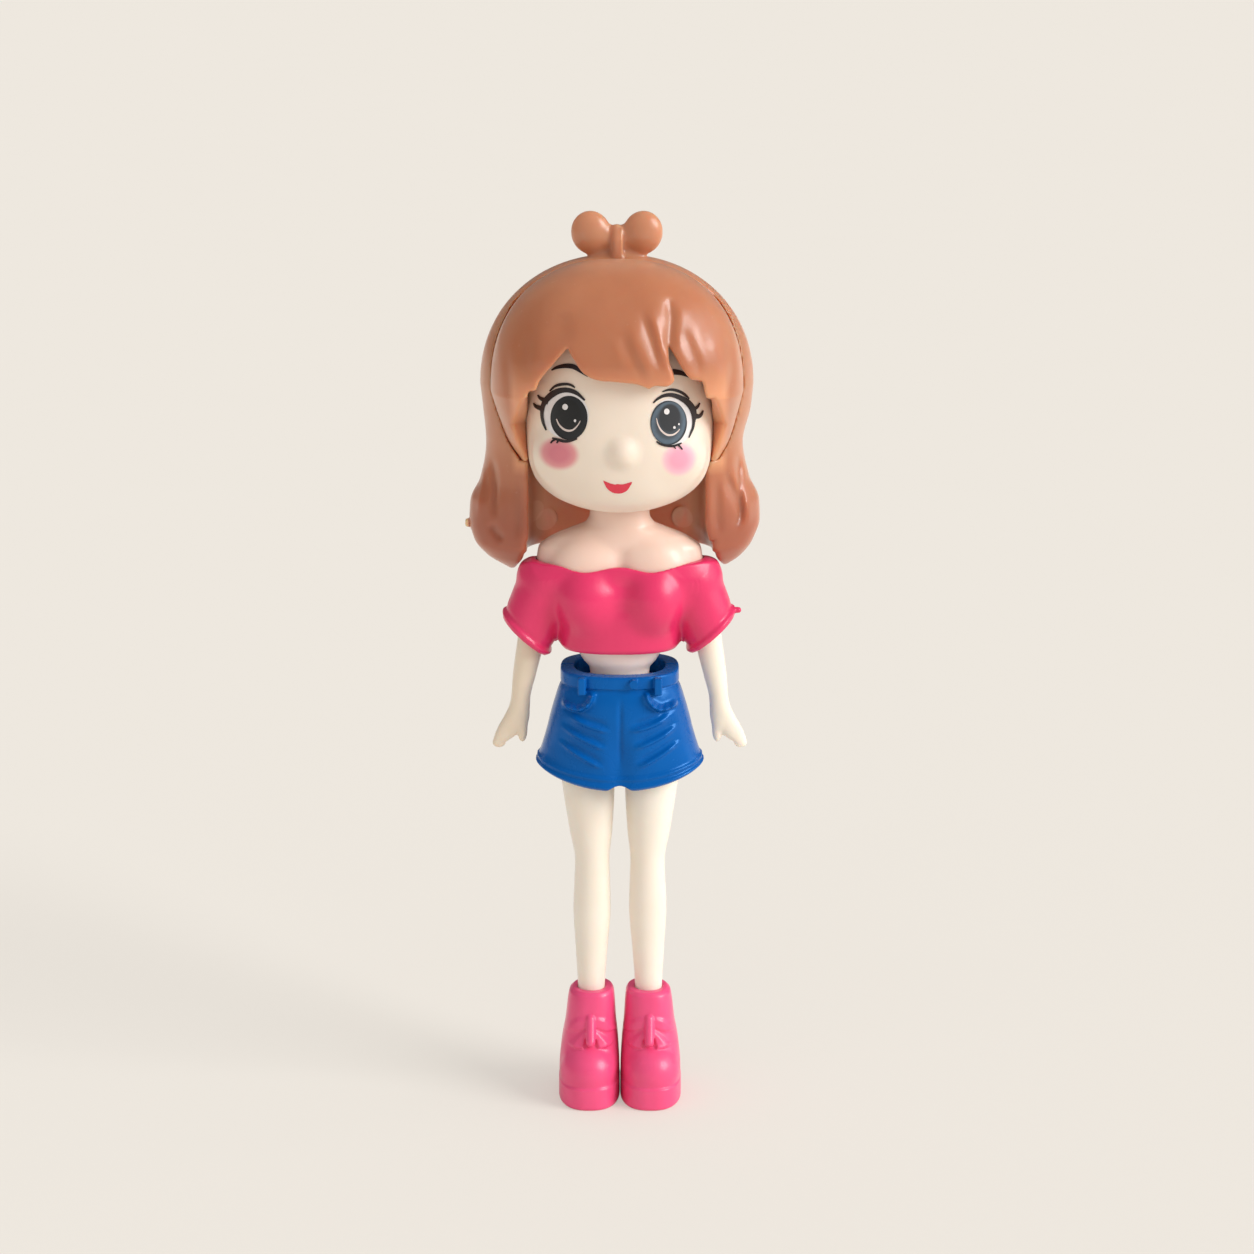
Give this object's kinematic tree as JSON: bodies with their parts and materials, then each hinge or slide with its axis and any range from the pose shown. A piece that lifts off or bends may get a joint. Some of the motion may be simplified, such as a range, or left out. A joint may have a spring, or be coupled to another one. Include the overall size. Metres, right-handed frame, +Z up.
{
  "type": "fashion doll",
  "caption": "Standing moulded fashion doll with a big printed head, pinned limbs, and hair, top, shorts and boots that pull off.",
  "frame": {"origin": "middle of the box round the doll, at the level of the boot soles", "axes": "+Z up along the standing doll, -Y the way it faces, +X to its own left"},
  "size_m": [0.047, 0.0346, 0.1501],
  "materials": {
    "face_skin": "gloss",
    "skin": "satin",
    "hair": "gloss",
    "top": "satin",
    "shorts": "satin",
    "boots": "satin",
    "pins": "matte"
  },
  "bodies": {
    "hips": {"pelvis_front": "skin", "pelvis_back": "skin", "waist_pin": "pins"},
    "torso": {"torso_front": "skin", "torso_back": "skin", "neck_pin": "pins"},
    "head": {"face_shell": "face_skin", "head_back_shell": "skin"},
    "front_hair": {"hair_front": "hair"},
    "rear_hair": {"hair_back": "hair"},
    "left_arm": {"arm_left": "skin"},
    "right_arm": {"arm_right": "skin"},
    "left_leg": {"leg_left": "skin"},
    "right_leg": {"leg_right": "skin"},
    "front_top": {"top_front": "top"},
    "rear_top": {"top_back": "top"},
    "front_shorts": {"shorts_front": "shorts"},
    "rear_shorts": {"shorts_back": "shorts"},
    "left_boot": {"boot_left": "boots"},
    "right_boot": {"boot_right": "boots"}
  },
  "joints": [
    {"name": "waist_turn", "type": "hinge", "parent": "hips", "child": "torso", "pos_m": [0, 0, 0.0736], "axis": [0, 0, 1], "range_deg": [-15, 15]},
    {"name": "head_turn", "type": "hinge", "parent": "torso", "child": "head", "pos_m": [0, 0, 0.105], "axis": [0, 0, 1], "range_deg": [-15, 15]},
    {"name": "left_arm_swing", "type": "hinge", "parent": "torso", "child": "left_arm", "pos_m": [0.0115, 0, 0.0899], "axis": [1, 0, 0], "range_deg": [-8, 8]},
    {"name": "right_arm_swing", "type": "hinge", "parent": "torso", "child": "right_arm", "pos_m": [-0.0115, 0, 0.0899], "axis": [1, 0, 0], "range_deg": [-8, 8]},
    {"name": "left_leg_swing", "type": "hinge", "parent": "hips", "child": "left_leg", "pos_m": [0.0038, 0, 0.0635], "axis": [1, 0, 0], "range_deg": [-10, 10]},
    {"name": "right_leg_swing", "type": "hinge", "parent": "hips", "child": "right_leg", "pos_m": [-0.0038, 0, 0.0635], "axis": [1, 0, 0], "range_deg": [-10, 10]},
    {"name": "left_boot_pull", "type": "slide", "parent": "left_leg", "child": "left_boot", "axis": [0, 0, -1], "range_m": [0, 0.015]},
    {"name": "right_boot_pull", "type": "slide", "parent": "right_leg", "child": "right_boot", "axis": [0, 0, -1], "range_m": [0, 0.015]},
    {"name": "hair_front_pull", "type": "slide", "parent": "head", "child": "front_hair", "axis": [0, -1, 0], "range_m": [0, 0.02]},
    {"name": "hair_back_pull", "type": "slide", "parent": "head", "child": "rear_hair", "axis": [0, 1, 0], "range_m": [0, 0.02]},
    {"name": "top_front_pull", "type": "slide", "parent": "torso", "child": "front_top", "axis": [0, -1, 0], "range_m": [0, 0.01]},
    {"name": "top_back_pull", "type": "slide", "parent": "torso", "child": "rear_top", "axis": [0, 1, 0], "range_m": [0, 0.01]},
    {"name": "shorts_front_pull", "type": "slide", "parent": "hips", "child": "front_shorts", "axis": [0, -1, 0], "range_m": [0, 0.01]},
    {"name": "shorts_back_pull", "type": "slide", "parent": "hips", "child": "rear_shorts", "axis": [0, 1, 0], "range_m": [0, 0.01]}
  ]
}
